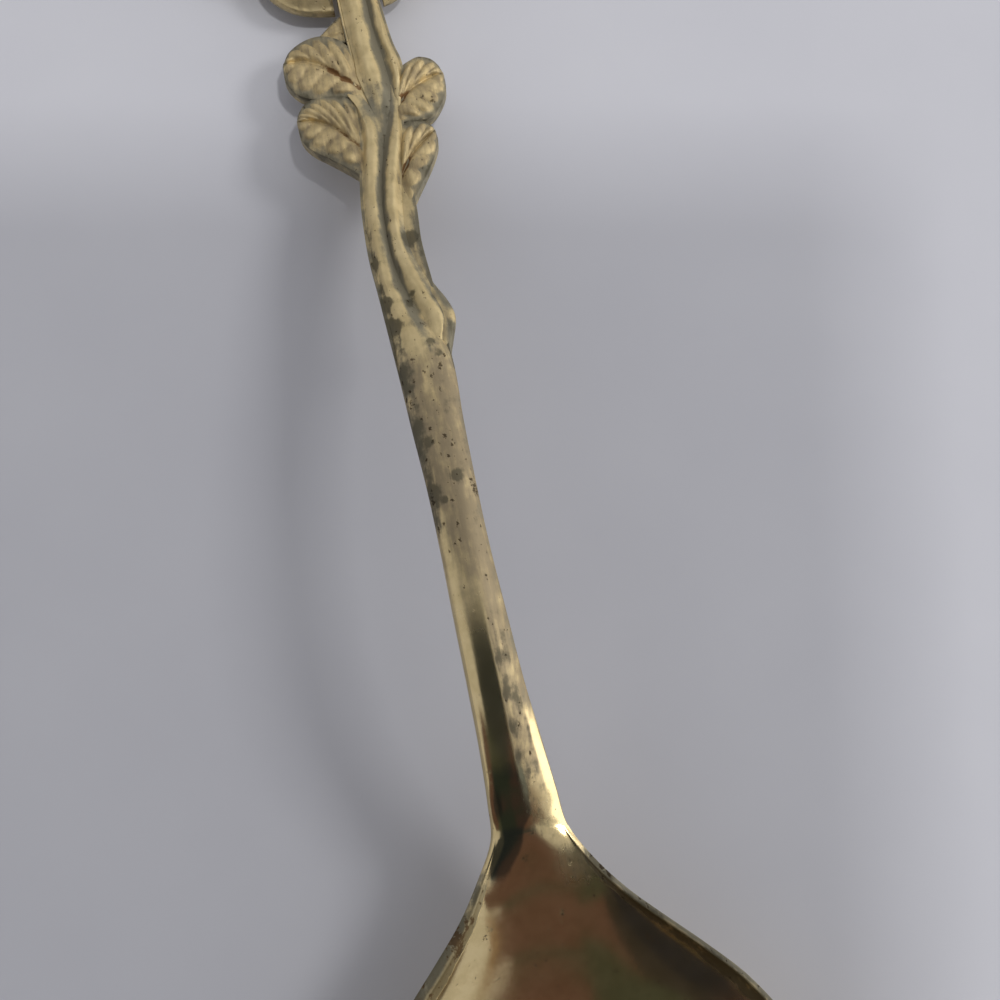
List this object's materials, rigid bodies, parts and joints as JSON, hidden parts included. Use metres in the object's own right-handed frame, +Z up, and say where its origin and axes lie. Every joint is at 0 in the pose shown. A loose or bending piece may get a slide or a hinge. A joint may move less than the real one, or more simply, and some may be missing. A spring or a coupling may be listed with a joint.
{
  "type": "teaspoon",
  "caption": "Small teaspoon with an oval bowl and an arched stem shaped as a rose stalk with vines, leaves, a thorn and an open flower.",
  "frame": {"origin": "middle of the spoon's bounding box on the table it lies on", "axes": "+Z up, +Y along the spoon from the bowl's tip to the flower, +X to the right seen from above"},
  "size_m": [0.03, 0.119, 0.0108],
  "materials": {
    "polished_gold": "mirror-polished thin gold plating with small pits and a rough worn rim",
    "satin_gold": "satin gold plating worn through to grey base metal on the sides and edges"
  },
  "bodies": {
    "root": {"bowl": "polished_gold", "shank": "polished_gold", "stem": "satin_gold", "main_vine": "satin_gold", "side_vine": "satin_gold", "flower_stalk": "satin_gold", "side_stalk": "satin_gold", "thorn": "satin_gold", "leaf_upper_left": "satin_gold", "leaf_lower_left": "satin_gold", "leaf_upper_right": "satin_gold", "leaf_lower_right": "satin_gold", "leaf_small": "satin_gold", "rose_back": "satin_gold", "rose_core": "satin_gold", "petal_1": "satin_gold", "petal_2": "satin_gold", "petal_3": "satin_gold", "petal_4": "satin_gold", "petal_5": "satin_gold", "petal_6": "satin_gold", "inner_petal_1": "satin_gold", "inner_petal_2": "satin_gold", "inner_petal_3": "satin_gold", "inner_petal_4": "satin_gold", "inner_petal_5": "satin_gold", "wrap_1": "satin_gold", "wrap_2": "satin_gold", "wrap_3": "satin_gold", "bud": "satin_gold"}
  },
  "joints": []
}
